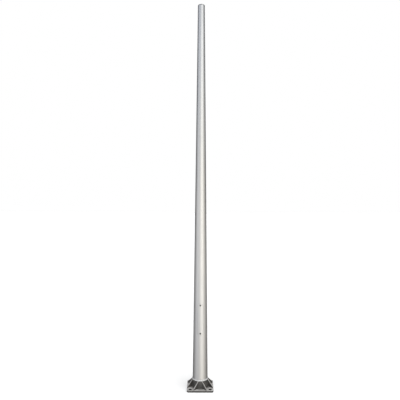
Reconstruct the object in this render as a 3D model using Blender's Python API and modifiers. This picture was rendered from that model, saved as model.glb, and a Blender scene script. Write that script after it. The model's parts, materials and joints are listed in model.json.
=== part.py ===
"""Pole-type omnidirectional antenna on a cast flange base.

A tapered aluminium mast is welded into a ribbed casting and carries a radome tube of the same
taper, closed by a domed cap. A collinear stack of radiators stands inside the radome, and its
feeder runs down the mast to a surge arrester behind a flush access door.

Metres, +Z up. The origin is the centre of the base plate's underside, and the door faces -Y.
"""

import math

import bmesh
import bpy
from mathutils import Matrix, Vector

# Overall
TOTAL_HEIGHT = 4.000
GAP = 0.0003
ROUND_STEPS = 48
MEDIUM_STEPS = 32
SMALL_STEPS = 16
SHARP_ANGLE = math.radians(35)

# Shaft: one straight taper shared by the mast and the radome, set by its radii at two heights
FOOT_Z = 0.100
FOOT_RADIUS = 0.0777
UPPER_Z = 3.965
UPPER_RADIUS = 0.0363
TOP_Z = 3.977
WALL = 0.004
SPLICE_Z = 1.100
SLEEVE_REACH = 0.040
JOINT_Z = 2.600

# Base casting
PLATE_SIDE = 0.270
PLATE_THICK = 0.018
PLATE_CORNER = 0.021
BOLT_PITCH = 0.204
BOLT_HOLE_RADIUS = 0.016
COLLAR_TOP = 0.0965
COLLAR_TOP_RADIUS = 0.083
COLLAR_FOOT_RADIUS = 0.091
SOCKET_RADIUS = 0.0790
SOCKET_FLOOR = 0.020
CABLE_HOLE_RADIUS = 0.040
RIB_THICK = 0.009
RIB_ROOT_ANGLE = math.radians(14.3)
RIB_ROOT_TOP = 0.096
RIB_FOOT_OFFSET = 0.0655
RIB_FOOT_REACH = 0.130
RIB_FOOT_TOP = 0.031
RIB_INTO_WALL = 0.004

# Access door
DOOR_Z = 0.7225
DOOR_WIDTH = 0.062
DOOR_HEIGHT = 0.326
DOOR_THICK = 0.0022
DOOR_EDGE_GAP = 0.0010
SCREW_OFFSET = 0.144
GASKET_WIDTH = 0.0055
FRAME_OVERLAP = 0.009
FRAME_LIP = 0.006
FRAME_THICK = 0.003
BRIDGE_SIZE = (0.060, 0.006, 0.016)
DOOR_SCREW_RADIUS = 0.003
DOOR_SCREW_HEAD_RADIUS = 0.0062
DOOR_SCREW_HEAD_HEIGHT = 0.0030

# Connector bracket behind the door
RAIL_WIDTH = 0.044
RAIL_THICK = 0.003
RAIL_Y = 0.046
RAIL_BOTTOM = 0.600
RAIL_TOP = 0.850
RAIL_FIXING_Z = (0.616, 0.834)
SHELF_Z = 0.700
SHELF_FRONT = -0.005
PORT_Y = 0.015
PORT_RADIUS = 0.0075
EARTH_STUD_Z = 0.640
EARTH_STUD_X = -0.012

# Feeder
CABLE_RADIUS = 0.0052
CABLE_BOTTOM = 0.8123
CABLE_TOP = 2.6347
CABLE_SPACER_Z = (1.400, 2.000)

# Joint spigot and radiating stack
SPIGOT_BOTTOM = 2.515
SPIGOT_TOP = 2.705
WEB_THICK = 0.006
SEAL_Z = 2.612
RADOME_SCREW_Z = 2.650
RADOME_SCREW_ANGLES = (90, 210, 330)
ROD_RADIUS = 0.004
ROD_TOP = 3.895
RADIATOR_COUNT = 4
RADIATOR_RADIUS = 0.008
RADIATOR_LENGTH = 0.215
RADIATOR_START = 2.840
COIL_SPACE = 0.045
COIL_TURNS = 3
COIL_RADIUS = 0.008
COIL_WIRE_RADIUS = 0.0011
FOAM_Z = (2.945, 3.725)

# Cap
CAP_SEAT = TOP_Z + GAP
CAP_HEIGHT = 0.0132
CAP_ROUNDNESS = 2.3
CAP_WALL = 0.003
SKIRT_BOTTOM = 3.935
SKIRT_WALL = 0.0045
CAP_HOLE_RADIUS = 0.0044
BRIDGE_DISC_Z = 3.904
STUD_RADIUS = 0.004

FRONT = Matrix.Rotation(math.pi / 2, 4, "X")  # turns a piece's own +Z to face -Y


def shaft_radius(z, depth=0.0):
    """The shaft's radius at a height, less a depth measured inwards from its skin."""
    taper = (FOOT_RADIUS - UPPER_RADIUS) / (UPPER_Z - FOOT_Z)
    return FOOT_RADIUS - (z - FOOT_Z) * taper - depth


# Scene and materials


def clear_scene():
    for obj in list(bpy.data.objects):
        bpy.data.objects.remove(obj, do_unlink=True)


def new_collection(name):
    collection = bpy.data.collections.new(name)
    bpy.context.scene.collection.children.link(collection)
    return collection


def finish(name, colour, roughness, metallic):
    material = bpy.data.materials.new(name)
    material.use_nodes = True
    shader = material.node_tree.nodes["Principled BSDF"]
    shader.inputs["Base Color"].default_value = (*colour, 1.0)
    shader.inputs["Roughness"].default_value = roughness
    shader.inputs["Metallic"].default_value = metallic
    return material


clear_scene()
ANTENNA = new_collection("omnidirectional_antenna")
CUTTERS = new_collection("cutters")

SATIN_ALUMINIUM = finish("satin_aluminium", (0.62, 0.62, 0.60), 0.38, 1.0)
RADOME_SKIN = finish("radome_skin", (0.62, 0.62, 0.61), 0.38, 0.8)
CAST_ALUMINIUM = finish("cast_aluminium", (0.20, 0.19, 0.18), 0.65, 0.7)
WELD_METAL = finish("weld_metal", (0.75, 0.75, 0.76), 0.35, 1.0)
PLAIN_ALUMINIUM = finish("plain_aluminium", (0.66, 0.66, 0.66), 0.45, 1.0)
STAINLESS = finish("stainless_steel", (0.50, 0.49, 0.47), 0.30, 1.0)
DARK_STEEL = finish("dark_steel", (0.10, 0.10, 0.10), 0.45, 0.9)
BRASS = finish("brass", (0.72, 0.52, 0.22), 0.30, 1.0)
COPPER = finish("copper", (0.75, 0.38, 0.24), 0.32, 1.0)
BLACK_RUBBER = finish("black_rubber", (0.03, 0.03, 0.03), 0.80, 0.0)
CABLE_JACKET = finish("cable_jacket", (0.02, 0.02, 0.02), 0.50, 0.0)
EARTH_JACKET = finish("earth_jacket", (0.10, 0.36, 0.10), 0.50, 0.0)
FOAM = finish("foam", (0.80, 0.80, 0.78), 0.90, 0.0)
GLASS_FIBRE = finish("glass_fibre", (0.70, 0.66, 0.50), 0.50, 0.0)


# Building blocks


def place(obj, look, matrix=None):
    """Puts a new piece in the antenna's collection with its material."""
    ANTENNA.objects.link(obj)
    obj.data.materials.append(look)
    if matrix is not None:
        obj.matrix_world = matrix
    return obj


def turned(name, profile, look, steps=SMALL_STEPS, matrix=None):
    """A profile of (radius, height) points turned about the piece's own Z axis.

    The points run down the outer side. A profile that stays off the axis is closed into a ring.
    """
    ring = all(radius > 0 for radius, _ in profile)
    count = len(profile)
    edges = [(i, (i + 1) % count) for i in range(count if ring else count - 1)]
    mesh = bpy.data.meshes.new(name)
    mesh.from_pydata([(radius, 0.0, height) for radius, height in profile], edges, [])
    obj = bpy.data.objects.new(name, mesh)
    screw = obj.modifiers.new("Turn", "SCREW")
    screw.angle = 2 * math.pi
    screw.steps = screw.render_steps = steps
    screw.use_merge_vertices = True
    screw.merge_threshold = 0.0001
    return place(obj, look, matrix)


def ring(name, inner, outer, bottom, top, look, steps=SMALL_STEPS, matrix=None):
    """A plain turned ring of rectangular section."""
    profile = [(outer, top), (outer, bottom), (inner, bottom), (inner, top)]
    return turned(name, profile, look, steps, matrix)


def shell(name, bottom, top, outer_depth, inner_depth, look, steps=ROUND_STEPS):
    """A length of tube that follows the shaft's taper between two depths below its skin."""
    profile = [
        (shaft_radius(top, outer_depth), top),
        (shaft_radius(bottom, outer_depth), bottom),
        (shaft_radius(bottom, inner_depth), bottom),
        (shaft_radius(top, inner_depth), top),
    ]
    return turned(name, profile, look, steps)


def plug_disc(name, hole, bottom, top, look):
    """A disc with a centre hole that fits the inside of the tube."""
    depth = WALL + GAP
    profile = [
        (shaft_radius(top, depth), top),
        (shaft_radius(bottom, depth), bottom),
        (hole, bottom),
        (hole, top),
    ]
    return turned(name, profile, look, MEDIUM_STEPS)


def from_bmesh(name, bm, look, matrix=None):
    mesh = bpy.data.meshes.new(name)
    bm.to_mesh(mesh)
    bm.free()
    return place(bpy.data.objects.new(name, mesh), look, matrix)


def box(name, low, high, look):
    bm = bmesh.new()
    bmesh.ops.create_cube(bm, size=1.0)
    for vert in bm.verts:
        vert.co = Vector(h if c > 0 else l for l, h, c in zip(low, high, vert.co))
    return from_bmesh(name, bm, look)


def cylinder(name, radius, bottom, top, look, segments=SMALL_STEPS, matrix=None):
    """An upright round bar, or a prism when it has few segments."""
    bm = bmesh.new()
    bmesh.ops.create_cone(
        bm, cap_ends=True, segments=segments, radius1=radius, radius2=radius, depth=top - bottom
    )
    bmesh.ops.translate(bm, verts=bm.verts, vec=(0, 0, (top + bottom) / 2))
    return from_bmesh(name, bm, look, matrix)


def stadium(name, width, height, look=DARK_STEEL):
    """A prism with round ends that runs through the front of the shaft at the door."""
    segments = 32
    half_step = math.pi / segments
    radius = width / 2 / math.cos(half_step)
    bm = bmesh.new()
    bmesh.ops.create_cone(
        bm, cap_ends=True, segments=segments, radius1=radius, radius2=radius, depth=0.070
    )
    bmesh.ops.rotate(bm, verts=bm.verts, matrix=Matrix.Rotation(half_step, 3, "Z"))
    for vert in bm.verts:
        vert.co.y += math.copysign((height - width) / 2, vert.co.y)
    return from_bmesh(name, bm, look, Matrix.Translation((0, -0.075, DOOR_Z)) @ FRONT)


def combine(obj, other, operation):
    """Adds a Boolean with another piece, which then serves as a helper only."""
    ANTENNA.objects.unlink(other)
    CUTTERS.objects.link(other)
    other.hide_render = True
    other.display_type = "WIRE"
    boolean = obj.modifiers.new(other.name, "BOOLEAN")
    boolean.operation = operation
    boolean.solver = "EXACT"
    boolean.object = other
    return obj


def cut(obj, other):
    return combine(obj, other, "DIFFERENCE")


def join(obj, other):
    return combine(obj, other, "UNION")


def keep_inside(obj, other):
    return combine(obj, other, "INTERSECT")


def tube_along(name, points, radius, look, bevel_resolution=2):
    """A round cable or wire along a list of points."""
    curve = bpy.data.curves.new(name, "CURVE")
    curve.dimensions = "3D"
    curve.bevel_depth = radius
    curve.bevel_resolution = bevel_resolution
    curve.use_fill_caps = True
    spline = curve.splines.new("POLY")
    spline.points.add(len(points) - 1)
    for point, place_at in zip(spline.points, points):
        point.co = (*place_at, 1.0)
    return place(bpy.data.objects.new(name, curve), look)


def smooth_route(stations, per_span):
    """Points on a smooth curve through the stations."""
    stations = [Vector(s) for s in stations]
    ends = [2 * stations[0] - stations[1], *stations, 2 * stations[-1] - stations[-2]]
    route = []
    for a, b, c, d in zip(ends, ends[1:], ends[2:], ends[3:]):
        for i in range(per_span):
            t = i / per_span
            route.append(
                0.5
                * (2 * b + (c - a) * t + (2 * a - 5 * b + 4 * c - d) * t**2
                   + (3 * b - a - 3 * c + d) * t**3)
            )
    return [*route, stations[-1]]


def hex_ring(name, across_flats, hole, bottom, top, look, matrix=None):
    corner = across_flats / 2 / math.cos(math.pi / 6)
    nut = cylinder(name, corner, bottom, top, look, segments=6, matrix=matrix)
    margin = 0.001
    bore = cylinder(name + "_bore", hole, bottom - margin, top + margin, look, matrix=matrix)
    return cut(nut, bore)


# Base


def rib(index):
    """One splayed rib, two to a side: a wedge from the collar down to the plate's edge."""
    side, hand = divmod(index, 2)
    sign = 1 if hand else -1
    root = Vector((
        sign * COLLAR_TOP_RADIUS * math.sin(RIB_ROOT_ANGLE),
        -COLLAR_TOP_RADIUS * math.cos(RIB_ROOT_ANGLE),
        0,
    ))
    foot = Vector((sign * RIB_FOOT_OFFSET, -RIB_FOOT_REACH, 0))
    run = foot - root
    bm = bmesh.new()
    bmesh.ops.create_cube(bm, size=1.0)
    for vert in bm.verts:
        at_foot = vert.co.x > 0
        along = run.length if at_foot else -RIB_INTO_WALL
        top = RIB_FOOT_TOP if at_foot else RIB_ROOT_TOP
        vert.co = (along, vert.co.y * RIB_THICK, top if vert.co.z > 0 else PLATE_THICK / 2)
    heading = Matrix.Rotation(math.atan2(run.y, run.x), 4, "Z")
    turn = Matrix.Rotation(side * math.pi / 2, 4, "Z")
    return from_bmesh(
        f"rib_{index + 1}", bm, CAST_ALUMINIUM, turn @ Matrix.Translation(root) @ heading
    )


def base_casting():
    half = PLATE_SIDE / 2
    casting = box(
        "base_casting", (-half, -half, 0), (half, half, PLATE_THICK), CAST_ALUMINIUM
    )
    bm = bmesh.new()
    bm.from_mesh(casting.data)
    corners = [e for e in bm.edges if abs(e.verts[0].co.z - e.verts[1].co.z) > 0.001]
    bmesh.ops.bevel(
        bm, geom=corners, offset=PLATE_CORNER, segments=6, profile=0.5, affect="EDGES"
    )
    bm.to_mesh(casting.data)
    bm.free()
    join(casting, turned(
        "collar",
        [
            (0, COLLAR_TOP),
            (COLLAR_TOP_RADIUS, COLLAR_TOP),
            (COLLAR_FOOT_RADIUS, PLATE_THICK),
            (COLLAR_FOOT_RADIUS, PLATE_THICK / 2),
            (0, PLATE_THICK / 2),
        ],
        CAST_ALUMINIUM,
        ROUND_STEPS,
    ))
    for index in range(8):
        join(casting, rib(index))
    cut(casting, cylinder(
        "socket", SOCKET_RADIUS, SOCKET_FLOOR, COLLAR_TOP + 0.02, CAST_ALUMINIUM, ROUND_STEPS
    ))
    cut(casting, cylinder(
        "cable_hole", CABLE_HOLE_RADIUS, -0.01, SOCKET_FLOOR + 0.01, CAST_ALUMINIUM, MEDIUM_STEPS
    ))
    for x in (-BOLT_PITCH / 2, BOLT_PITCH / 2):
        for y in (-BOLT_PITCH / 2, BOLT_PITCH / 2):
            cut(casting, cylinder(
                "bolt_hole", BOLT_HOLE_RADIUS, -0.01, PLATE_THICK + 0.01, CAST_ALUMINIUM,
                matrix=Matrix.Translation((x, y, 0)),
            ))
    return casting


def base_weld():
    """The bead laid between the collar's lip and the mast."""
    bottom = COLLAR_TOP + GAP
    top = COLLAR_TOP + 0.012
    profile = [
        (shaft_radius(top) + GAP, top),
        (0.0797, top - 0.0012),
        (0.0817, top - 0.0048),
        (0.0828, top - 0.0090),
        (0.0828, bottom),
        (shaft_radius(bottom) + GAP, bottom),
    ]
    turned("base_weld", profile, WELD_METAL, ROUND_STEPS)


def socket_weld():
    """The fillet inside the mast's foot, laid on the socket's floor."""
    outer = shaft_radius(SOCKET_FLOOR + 0.006, WALL) - GAP
    bottom = SOCKET_FLOOR + GAP
    profile = [
        (outer, bottom + 0.0055),
        (outer, bottom),
        (outer - 0.0055, bottom),
        (outer - 0.0035, bottom + 0.0035),
    ]
    turned("socket_weld", profile, WELD_METAL, MEDIUM_STEPS)


def cable_grommet():
    """A flanged rubber ring that lines the cable hole in the casting's floor."""
    waist = CABLE_HOLE_RADIUS - GAP
    flange = SOCKET_FLOOR + GAP
    profile = [
        (waist + 0.006, flange + 0.0035),
        (waist + 0.006, flange),
        (waist, flange),
        (waist, 0.001),
        (0.018, 0.001),
        (0.018, flange + 0.0035),
    ]
    turned("cable_grommet", profile, BLACK_RUBBER, MEDIUM_STEPS)


# Mast and door


def mast():
    """The lower tube with the handhole, the upper tube, and the sleeve inside their joint."""
    lower = shell("mast_lower_tube", SOCKET_FLOOR + 0.0005, SPLICE_Z, 0, WALL, SATIN_ALUMINIUM)
    edge = 2 * DOOR_EDGE_GAP
    cut(lower, stadium("handhole", DOOR_WIDTH + edge, DOOR_HEIGHT + edge))
    shell("mast_upper_tube", SPLICE_Z + GAP, JOINT_Z, 0, WALL, SATIN_ALUMINIUM)
    depth = WALL + GAP
    shell(
        "mast_sleeve", SPLICE_Z - SLEEVE_REACH, SPLICE_Z + SLEEVE_REACH, depth, depth + 0.004,
        PLAIN_ALUMINIUM,
    )


def door_band(name, outer_depth, inner_depth, look):
    """A stretch of curved wall round the door's height, still to be trimmed to its outline."""
    reach = DOOR_HEIGHT / 2 + 0.03
    return shell(name, DOOR_Z - reach, DOOR_Z + reach, outer_depth, inner_depth, look)


def screw_height(sign):
    return DOOR_Z + sign * SCREW_OFFSET


def access_door(pivot):
    door = door_band("access_door", 0, DOOR_THICK, SATIN_ALUMINIUM)
    keep_inside(door, stadium("door_outline", DOOR_WIDTH, DOOR_HEIGHT))
    for sign in (1, -1):
        hole = Matrix.Translation((0, -0.07, screw_height(sign))) @ FRONT
        cut(door, cylinder(
            "door_screw_hole", DOOR_SCREW_RADIUS + 0.0005, -0.02, 0.02, DARK_STEEL, matrix=hole
        ))
    hang_on(door, pivot)


def hang_on(obj, pivot):
    """Parents a piece to an empty and leaves it where it is."""
    obj.parent = pivot
    obj.location = obj.location - pivot.location


def door_gasket():
    gasket = door_band("door_gasket", DOOR_THICK + GAP, WALL, BLACK_RUBBER)
    keep_inside(gasket, stadium("gasket_outline", DOOR_WIDTH, DOOR_HEIGHT))
    inner = 2 * GASKET_WIDTH
    cut(gasket, stadium("gasket_window", DOOR_WIDTH - inner, DOOR_HEIGHT - inner))


def door_frame():
    depth = WALL + GAP
    frame = door_band("door_frame", depth, depth + FRAME_THICK, PLAIN_ALUMINIUM)
    outer = 2 * FRAME_OVERLAP
    inner = 2 * FRAME_LIP
    keep_inside(frame, stadium("frame_outline", DOOR_WIDTH + outer, DOOR_HEIGHT + outer))
    cut(frame, stadium("frame_window", DOOR_WIDTH - inner, DOOR_HEIGHT - inner))


def bridge_front(z):
    """Where a flat bar across the opening meets the frame behind it."""
    width, _, height = BRIDGE_SIZE
    inside = shaft_radius(z + height / 2, WALL + FRAME_THICK + 2 * GAP)
    return -math.sqrt(inside**2 - (width / 2) ** 2) + GAP


def door_fixing(end, sign, pivot):
    """A tapped bar across the opening, and the captive screw that pulls the door to it."""
    z = screw_height(sign)
    width, thick, height = BRIDGE_SIZE
    front = bridge_front(z)
    bar = box(
        f"door_bridge_{end}",
        (-width / 2, front, z - height / 2),
        (width / 2, front + thick, z + height / 2),
        PLAIN_ALUMINIUM,
    )
    seat = -shaft_radius(z - DOOR_SCREW_HEAD_RADIUS) - GAP
    tip = seat - (front + thick + 0.003)
    on_axis = Matrix.Translation((0, seat, z)) @ FRONT
    cut(bar, cylinder(
        f"tapped_hole_{end}", DOOR_SCREW_RADIUS + GAP, tip - 0.01, 0, DARK_STEEL, matrix=on_axis
    ))
    head, shank = DOOR_SCREW_HEAD_RADIUS, DOOR_SCREW_RADIUS
    crown = DOOR_SCREW_HEAD_HEIGHT
    screw = turned(
        f"door_screw_{end}",
        [
            (0, crown),
            (0.6 * head, 0.92 * crown),
            (0.9 * head, 0.6 * crown),
            (head, 0.2 * crown),
            (head, 0),
            (shank, 0),
            (shank, tip + 0.001),
            (shank - 0.0008, tip),
            (0, tip),
        ],
        STAINLESS,
        matrix=on_axis,
    )
    cut(screw, cylinder(
        f"hex_socket_{end}", 0.0023, crown - 0.0018, crown + 0.002, DARK_STEEL, 6, on_axis
    ))
    hang_on(screw, pivot)
    behind = seat + shaft_radius(z + shank, DOOR_THICK) - 0.0008
    retainer = ring(
        f"screw_retainer_{end}", shank + GAP, shank + 0.0024, behind - 0.0008, behind,
        BLACK_RUBBER, matrix=on_axis,
    )
    hang_on(retainer, pivot)


# Bracket, arrester and earthing behind the door


def bracket_rail():
    half = RAIL_WIDTH / 2
    back = RAIL_Y + RAIL_THICK
    rail = box("bracket_rail", (-half, RAIL_Y, RAIL_BOTTOM), (half, back, RAIL_TOP), PLAIN_ALUMINIUM)
    join(rail, box(
        "shelf",
        (-half, SHELF_FRONT, SHELF_Z),
        (half, RAIL_Y + RAIL_THICK / 2, SHELF_Z + RAIL_THICK),
        PLAIN_ALUMINIUM,
    ))
    cut(rail, cylinder(
        "arrester_hole", PORT_RADIUS + 0.001, SHELF_Z - 0.01, SHELF_Z + 0.01, DARK_STEEL,
        matrix=Matrix.Translation((0, PORT_Y, 0)),
    ))
    for z in RAIL_FIXING_Z:
        cut(rail, cylinder(
            "fixing_hole", 0.0030, -0.01, 0.01, DARK_STEEL,
            matrix=Matrix.Translation((0, RAIL_Y, z)) @ FRONT,
        ))
    cut(rail, cylinder(
        "earth_hole", 0.0043, -0.01, 0.01, DARK_STEEL,
        matrix=Matrix.Translation((EARTH_STUD_X, RAIL_Y, EARTH_STUD_Z)) @ FRONT,
    ))


def rail_fixing(end, z):
    """A standoff on the mast's back wall, and the screw that holds the rail to it."""
    radius = 0.005
    wall = math.sqrt(shaft_radius(z + radius, WALL + GAP) ** 2 - radius**2) - GAP
    back = RAIL_Y + RAIL_THICK
    standoff = cylinder(
        f"rail_standoff_{end}", radius, 0, wall - back - GAP, PLAIN_ALUMINIUM,
        matrix=Matrix.Translation((0, wall, z)) @ FRONT,
    )
    screw_length = 0.010
    cut(standoff, cylinder(
        f"standoff_thread_{end}", 0.0028, 0, 0.05, DARK_STEEL,
        matrix=Matrix.Translation((0, back + screw_length, z)) @ FRONT,
    ))
    turned(
        f"rail_screw_{end}",
        [
            (0, 0.0028),
            (0.0030, 0.0026),
            (0.0044, 0.0012),
            (0.0044, 0),
            (0.0025, 0),
            (0.0025, -screw_length),
            (0, -screw_length),
        ],
        STAINLESS,
        matrix=Matrix.Translation((0, RAIL_Y - GAP, z)) @ FRONT,
    )


def surge_arrester():
    """A coaxial arrester: a barrel on the shelf with a port at each end."""
    at_port = Matrix.Translation((0, PORT_Y, SHELF_Z))
    seat = RAIL_THICK + GAP
    turned(
        "surge_arrester",
        [
            (0, 0.072),
            (PORT_RADIUS, 0.072),
            (PORT_RADIUS, 0.057),
            (0.0115, 0.057),
            (0.0130, 0.0555),
            (0.0130, seat + 0.0065),
            (0.0165, seat + 0.0065),
            (0.0165, seat),
            (PORT_RADIUS, seat),
            (PORT_RADIUS, -0.034),
            (0, -0.034),
        ],
        STAINLESS,
        matrix=at_port,
    )
    hex_ring("arrester_nut", 0.021, PORT_RADIUS + GAP, -0.0063, -GAP, STAINLESS, at_port)


def earthing():
    """The stud on the rail, its washer and nut, and the green lead from the arrester."""
    at_stud = Matrix.Translation((EARTH_STUD_X, RAIL_Y, EARTH_STUD_Z)) @ FRONT
    back = -RAIL_THICK - GAP
    turned(
        "earth_stud",
        [
            (0, 0.026),
            (0.0033, 0.026),
            (0.0040, 0.0252),
            (0.0040, back),
            (0.0065, back),
            (0.0065, back - 0.004),
            (0, back - 0.004),
        ],
        BRASS,
        matrix=at_stud,
    )
    ring("earth_washer", 0.0043, 0.0075, GAP, 0.0019, STAINLESS, matrix=at_stud)
    hex_ring("earth_nut", 0.013, 0.0043, 0.0060, 0.0125, BRASS, at_stud)
    lug = ring("earth_lug", 0.0043, 0.0088, 0.0022, 0.0042, COPPER, matrix=at_stud)
    join(lug, cylinder(
        "lug_barrel", 0.0026, 0.0079, 0.0200, COPPER,
        matrix=at_stud @ Matrix.Translation((0, 0, 0.0032)) @ Matrix.Rotation(math.pi / 2, 4, "X"),
    ))
    lug_end = Vector((EARTH_STUD_X, RAIL_Y - 0.0032, EARTH_STUD_Z - 0.0200 - GAP))
    arrester_side = Vector((-0.0165 - GAP, PORT_Y, SHELF_Z + 0.0066))
    stations = [
        lug_end,
        lug_end + Vector((0, 0, -0.003)),
        lug_end + Vector((0, 0, -0.006)),
        lug_end + Vector((-0.006, -0.008, -0.015)),
        Vector((-0.0290, 0.0270, 0.6300)),
        Vector((-0.0320, 0.0200, 0.6700)),
        Vector((-0.0300, PORT_Y, 0.7000)),
        arrester_side + Vector((-0.006, 0, 0)),
        arrester_side + Vector((-0.003, 0, 0)),
        arrester_side,
    ]
    tube_along("earth_lead", smooth_route(stations, 2), 0.0022, EARTH_JACKET)


# Feeder


def feeder():
    """The coaxial run from the arrester to the radiating stack."""
    at_port = Matrix.Translation((0, PORT_Y, 0))
    sleeve = PORT_RADIUS + GAP
    base = SHELF_Z + 0.0575
    turned(
        "feeder_plug_lower",
        [
            (0, CABLE_BOTTOM - GAP),
            (0.0062, CABLE_BOTTOM - GAP),
            (0.0066, base + 0.0275),
            (0.0102, base + 0.0265),
            (0.0102, base),
            (sleeve, base),
            (sleeve, base + 0.018),
            (0, base + 0.018),
        ],
        STAINLESS,
        matrix=at_port,
    )
    top = SPIGOT_TOP - WEB_THICK - 0.013
    turned(
        "feeder_plug_upper",
        [
            (0, top - 0.018),
            (sleeve, top - 0.018),
            (sleeve, top),
            (0.0102, top),
            (0.0102, top - 0.0265),
            (0.0066, top - 0.0275),
            (0.0062, CABLE_TOP + GAP),
            (0, CABLE_TOP + GAP),
        ],
        STAINLESS,
    )
    slack = 0.006
    stations = [
        (0, PORT_Y, CABLE_BOTTOM),
        (0, PORT_Y, CABLE_BOTTOM + 0.040),
        (0, 0.6 * PORT_Y, 0.980),
        (slack, 0, 1.180),
        (0, 0, CABLE_SPACER_Z[0] - 0.03),
        (0, 0, CABLE_SPACER_Z[0] + 0.03),
        (-slack, slack, 1.700),
        (0, 0, CABLE_SPACER_Z[1] - 0.03),
        (0, 0, CABLE_SPACER_Z[1] + 0.03),
        (slack, -slack, 2.300),
        (0, 0, CABLE_TOP - 0.080),
        (0, 0, CABLE_TOP),
    ]
    tube_along("feeder_cable", smooth_route(stations, 4), CABLE_RADIUS, CABLE_JACKET)
    for number, z in enumerate(CABLE_SPACER_Z, 1):
        plug_disc(f"cable_spacer_{number}", CABLE_RADIUS + 0.0006, z - 0.0125, z + 0.0125, FOAM)


# Radome joint


def countersunk(depth, radius, clearance):
    """The outline of a countersunk screw, or of its hole when it has a clearance."""
    lift = 0.003 if clearance else 0
    return [
        (0, lift),
        (radius + clearance, lift),
        (radius + clearance, -0.0004 - clearance),
        (radius / 2 + clearance, -0.0024 - clearance),
        (radius / 2 + clearance, -depth),
        (0, -depth),
    ]


def radome_and_joint():
    depth = WALL + GAP
    radome = shell("radome_tube", JOINT_Z + GAP, TOP_Z, 0, WALL, RADOME_SKIN)
    inner = depth + 0.004
    groove = 0.0022
    web = SPIGOT_TOP - WEB_THICK
    high, low = SEAL_Z + 0.0025, SEAL_Z - 0.0025
    spigot = turned(
        "joint_spigot",
        [
            (shaft_radius(SPIGOT_TOP, depth), SPIGOT_TOP),
            (shaft_radius(high, depth), high),
            (shaft_radius(high, depth + groove), high),
            (shaft_radius(low, depth + groove), low),
            (shaft_radius(low, depth), low),
            (shaft_radius(SPIGOT_BOTTOM, depth), SPIGOT_BOTTOM),
            (shaft_radius(SPIGOT_BOTTOM, inner), SPIGOT_BOTTOM),
            (shaft_radius(web, inner), web),
            (PORT_RADIUS + 0.0008, web),
            (PORT_RADIUS + 0.0008, SPIGOT_TOP),
        ],
        PLAIN_ALUMINIUM,
        ROUND_STEPS,
    )
    shell("joint_seal", low + GAP, high - GAP, depth, depth + groove - GAP, BLACK_RUBBER)
    for number, degrees in enumerate(RADOME_SCREW_ANGLES, 1):
        outward = Matrix.Rotation(math.radians(degrees), 4, "Z") @ Matrix.Rotation(
            math.pi / 2, 4, "Y"
        )
        skin = shaft_radius(RADOME_SCREW_Z) - 0.0001
        at_skin = Matrix.Translation((0, 0, RADOME_SCREW_Z)) @ outward @ Matrix.Translation(
            (0, 0, skin)
        )
        turned(f"radome_screw_{number}", countersunk(0.011, 0.0042, 0), STAINLESS, matrix=at_skin)
        for tube in (radome, spigot):
            cut(tube, turned(
                f"radome_screw_hole_{number}", countersunk(0.020, 0.0042, GAP), STAINLESS,
                matrix=at_skin,
            ))


# Radiating stack


def antenna_connector():
    """The bulkhead connector in the spigot's web, with its nut and the stack's base block."""
    top = SPIGOT_TOP + GAP
    turned(
        "antenna_connector",
        [
            (0, top + 0.0115),
            (0.0090, top + 0.0115),
            (0.0090, top + 0.0057),
            (0.0120, top + 0.0057),
            (0.0120, top),
            (PORT_RADIUS, top),
            (PORT_RADIUS, SPIGOT_TOP - 0.033),
            (0, SPIGOT_TOP - 0.033),
        ],
        STAINLESS,
    )
    web = SPIGOT_TOP - WEB_THICK
    hex_ring("connector_nut", 0.021, PORT_RADIUS + GAP, web - 0.0093, web - GAP, STAINLESS)
    bottom = top + 0.0061
    turned(
        "element_base",
        [
            (0, bottom + 0.0240),
            (ROD_RADIUS + GAP, bottom + 0.0240),
            (ROD_RADIUS + GAP, bottom + 0.0390),
            (0.0120, bottom + 0.0390),
            (0.0130, bottom + 0.0380),
            (0.0130, bottom),
            (0.0093, bottom),
            (0.0093, bottom + 0.0058),
            (0, bottom + 0.0058),
        ],
        BRASS,
    )
    cylinder("support_rod", ROD_RADIUS, bottom + 0.0240 + GAP, ROD_TOP, GLASS_FIBRE)


def choke_sleeve():
    outer, inner = 0.0170, 0.0155
    bottom, top = 2.760, RADIATOR_START - 0.004
    turned(
        "choke_sleeve",
        [
            (outer, top),
            (outer, bottom),
            (inner, bottom),
            (inner, top - 0.002),
            (ROD_RADIUS + GAP, top - 0.002),
            (ROD_RADIUS + GAP, top),
        ],
        COPPER,
    )


def radiating_stack():
    pitch = RADIATOR_LENGTH + COIL_SPACE
    for number in range(RADIATOR_COUNT):
        bottom = RADIATOR_START + number * pitch
        top = bottom + RADIATOR_LENGTH
        ring(f"radiator_{number + 1}", ROD_RADIUS + GAP, RADIATOR_RADIUS, bottom, top, BRASS)
        if number < RADIATOR_COUNT - 1:
            phasing_coil(number + 1, top, top + COIL_SPACE)
    for number, z in enumerate(FOAM_Z, 1):
        plug_disc(f"foam_spacer_{number}", RADIATOR_RADIUS + GAP, z - 0.010, z + 0.010, FOAM)


def phasing_coil(number, bottom, top):
    """A helix of wire that joins one radiator to the next."""
    per_turn = 10
    low = bottom + COIL_WIRE_RADIUS + 0.0008
    high = top - COIL_WIRE_RADIUS - 0.0008
    count = COIL_TURNS * per_turn
    points = []
    for i in range(count + 1):
        angle = 2 * math.pi * i / per_turn
        height = low + (high - low) * i / count
        points.append((COIL_RADIUS * math.cos(angle), COIL_RADIUS * math.sin(angle), height))
    tube_along(f"phasing_coil_{number}", points, COIL_WIRE_RADIUS, COPPER, bevel_resolution=1)


# Cap


def dome_height(radius, edge, rise):
    """Height of the dome above its rim: a rounded shoulder with a nearly flat crown."""
    return rise * (1 - (radius / edge) ** CAP_ROUNDNESS) ** (1 / CAP_ROUNDNESS)


def dome_points(edge, rise, hole, count):
    """Points from the centre hole out to the rim, closer together towards the shoulder."""
    points = []
    for i in range(count + 1):
        radius = hole + (edge - hole) * math.sin(math.pi / 2 * i / count)
        points.append((radius, CAP_SEAT + dome_height(radius, edge, rise)))
    return points


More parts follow.
